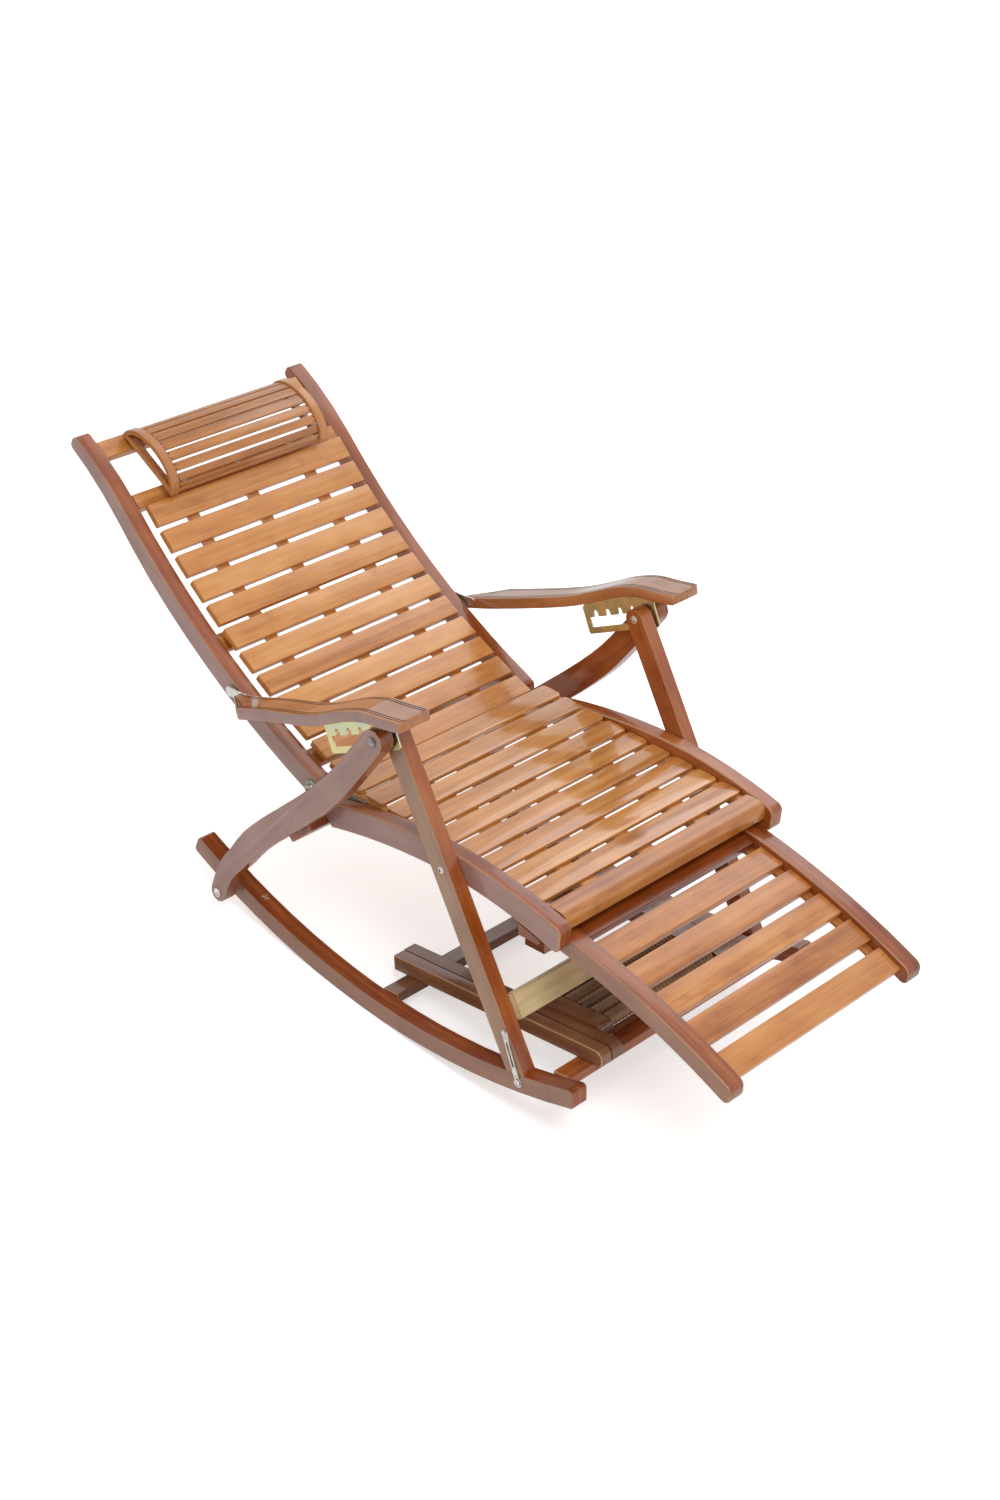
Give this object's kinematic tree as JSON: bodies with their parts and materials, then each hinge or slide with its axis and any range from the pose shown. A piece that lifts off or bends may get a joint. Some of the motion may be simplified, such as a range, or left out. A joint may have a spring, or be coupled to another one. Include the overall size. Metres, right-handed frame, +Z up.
{
  "type": "rocking lounge chair",
  "caption": "Bamboo rocking lounge chair with a slatted seat and reclining back, toothed armrest brackets, headrest, sliding footrest and roller foot massager.",
  "frame": {"origin": "centre of the bounding box on the floor, with the chair resting on its rockers", "axes": "+X to the sitter's left, +Y towards the head, +Z up"},
  "size_m": [0.646, 1.4348, 0.6484],
  "materials": {
    "slat_wood": "clear gloss lacquer on orange-tan bamboo",
    "frame_wood": "clear gloss lacquer on red-brown laminated bamboo",
    "footrest_wood": "clear gloss lacquer on red-tan bamboo",
    "kick_wood": "clear lacquer on olive bamboo",
    "roller_wood": "dark turned wood",
    "yellow_zinc": "yellow zinc plate",
    "bright_steel": "bright zinc plate"
  },
  "bodies": {
    "base": {"rocker_left": "frame_wood", "rocker_right": "frame_wood", "base_crossbar_rear": "frame_wood", "base_crossbar_front": "frame_wood", "base_bar_left": "frame_wood", "base_bar_right": "frame_wood", "massager_frame": "frame_wood", "lock_stud_left": "bright_steel", "lock_stud_right": "bright_steel", "rocker_bolt_left": "bright_steel", "rocker_bolt_right": "bright_steel"},
    "seat_frame": {"rear_leg_left": "frame_wood", "rear_leg_right": "frame_wood", "rear_stretcher": "frame_wood", "front_leg_left": "frame_wood", "front_leg_right": "frame_wood", "kick_board": "kick_wood", "cross_pin_left": "bright_steel", "cross_pin_right": "bright_steel", "seat_rail_left": "frame_wood", "seat_rail_right": "frame_wood", "seat_panel": "slat_wood", "knee_roll": "frame_wood", "footrest_guide": "frame_wood", "recline_hinge_left": "bright_steel", "recline_hinge_right": "bright_steel"},
    "back": {"back_rail_left": "frame_wood", "back_rail_right": "frame_wood", "back_slat_01": "slat_wood", "back_slat_02": "slat_wood", "back_slat_03": "slat_wood", "back_slat_04": "slat_wood", "back_slat_05": "slat_wood", "back_slat_06": "slat_wood", "back_slat_07": "slat_wood", "back_slat_08": "slat_wood", "back_slat_09": "slat_wood", "back_slat_10": "slat_wood", "back_slat_11": "slat_wood", "back_slat_12": "slat_wood", "back_frame": "slat_wood", "head_crossbar": "slat_wood", "headrest": "slat_wood"},
    "footrest": {"footrest_rail_left": "footrest_wood", "footrest_rail_right": "footrest_wood", "footrest_panel": "footrest_wood"},
    "roller_1": {"massage_roller_1": "roller_wood"},
    "roller_2": {"massage_roller_2": "roller_wood"},
    "roller_3": {"massage_roller_3": "roller_wood"},
    "roller_4": {"massage_roller_4": "roller_wood"},
    "roller_5": {"massage_roller_5": "roller_wood"},
    "hook_left": {"lock_hook_left": "bright_steel"},
    "hook_right": {"lock_hook_right": "bright_steel"},
    "armrest_left": {"armrest_left": "frame_wood", "armrest_bracket_left": "yellow_zinc", "armrest_hinge_left": "bright_steel"},
    "armrest_right": {"armrest_right": "frame_wood", "armrest_bracket_right": "yellow_zinc", "armrest_hinge_right": "bright_steel"}
  },
  "joints": [
    {"name": "frame_fold", "type": "hinge", "parent": "base", "child": "seat_frame", "pos_m": [0, 0.23682, 0.05175], "axis": [-1, 0, 0], "range_deg": [0, 30]},
    {"name": "recline", "type": "hinge", "parent": "seat_frame", "child": "back", "pos_m": [0, 0.11805, 0.29626], "axis": [1, 0, 0], "range_deg": [0, 37]},
    {"name": "footrest_slide", "type": "hinge", "parent": "seat_frame", "child": "footrest", "pos_m": [0, -0.32001, -0.93508], "axis": [-1, 0, 0], "range_deg": [0, 11.5]},
    {"name": "armrest_hinge_left", "type": "hinge", "parent": "back", "child": "armrest_left", "pos_m": [0, 0.30831, 0.37065], "axis": [1, 0, 0], "range_deg": [-30, 1]},
    {"name": "armrest_hinge_right", "type": "hinge", "parent": "back", "child": "armrest_right", "pos_m": [0, 0.30831, 0.37065], "axis": [1, 0, 0], "range_deg": [-30, 1]},
    {"name": "lock_hook_left", "type": "hinge", "parent": "seat_frame", "child": "hook_left", "pos_m": [0, -0.35569, 0.14642], "axis": [-1, 0, 0], "range_deg": [0, 60]},
    {"name": "lock_hook_right", "type": "hinge", "parent": "seat_frame", "child": "hook_right", "pos_m": [0, -0.35569, 0.14642], "axis": [-1, 0, 0], "range_deg": [0, 60]},
    {"name": "roller_1_spin", "type": "hinge", "parent": "base", "child": "roller_1", "pos_m": [0, -0.31435, 0.1034], "axis": [1, 0, 0], "continuous": true},
    {"name": "roller_2_spin", "type": "hinge", "parent": "base", "child": "roller_2", "pos_m": [0, -0.34, 0.10901], "axis": [1, 0, 0], "continuous": true},
    {"name": "roller_3_spin", "type": "hinge", "parent": "base", "child": "roller_3", "pos_m": [0, -0.36565, 0.11463], "axis": [1, 0, 0], "continuous": true},
    {"name": "roller_4_spin", "type": "hinge", "parent": "base", "child": "roller_4", "pos_m": [0, -0.3913, 0.12024], "axis": [1, 0, 0], "continuous": true},
    {"name": "roller_5_spin", "type": "hinge", "parent": "base", "child": "roller_5", "pos_m": [0, -0.41694, 0.12586], "axis": [1, 0, 0], "continuous": true}
  ],
  "couplings": [
    {"joint": "armrest_hinge_left", "follows": "recline", "ratio": -0.78},
    {"joint": "armrest_hinge_right", "follows": "recline", "ratio": -0.78}
  ]
}
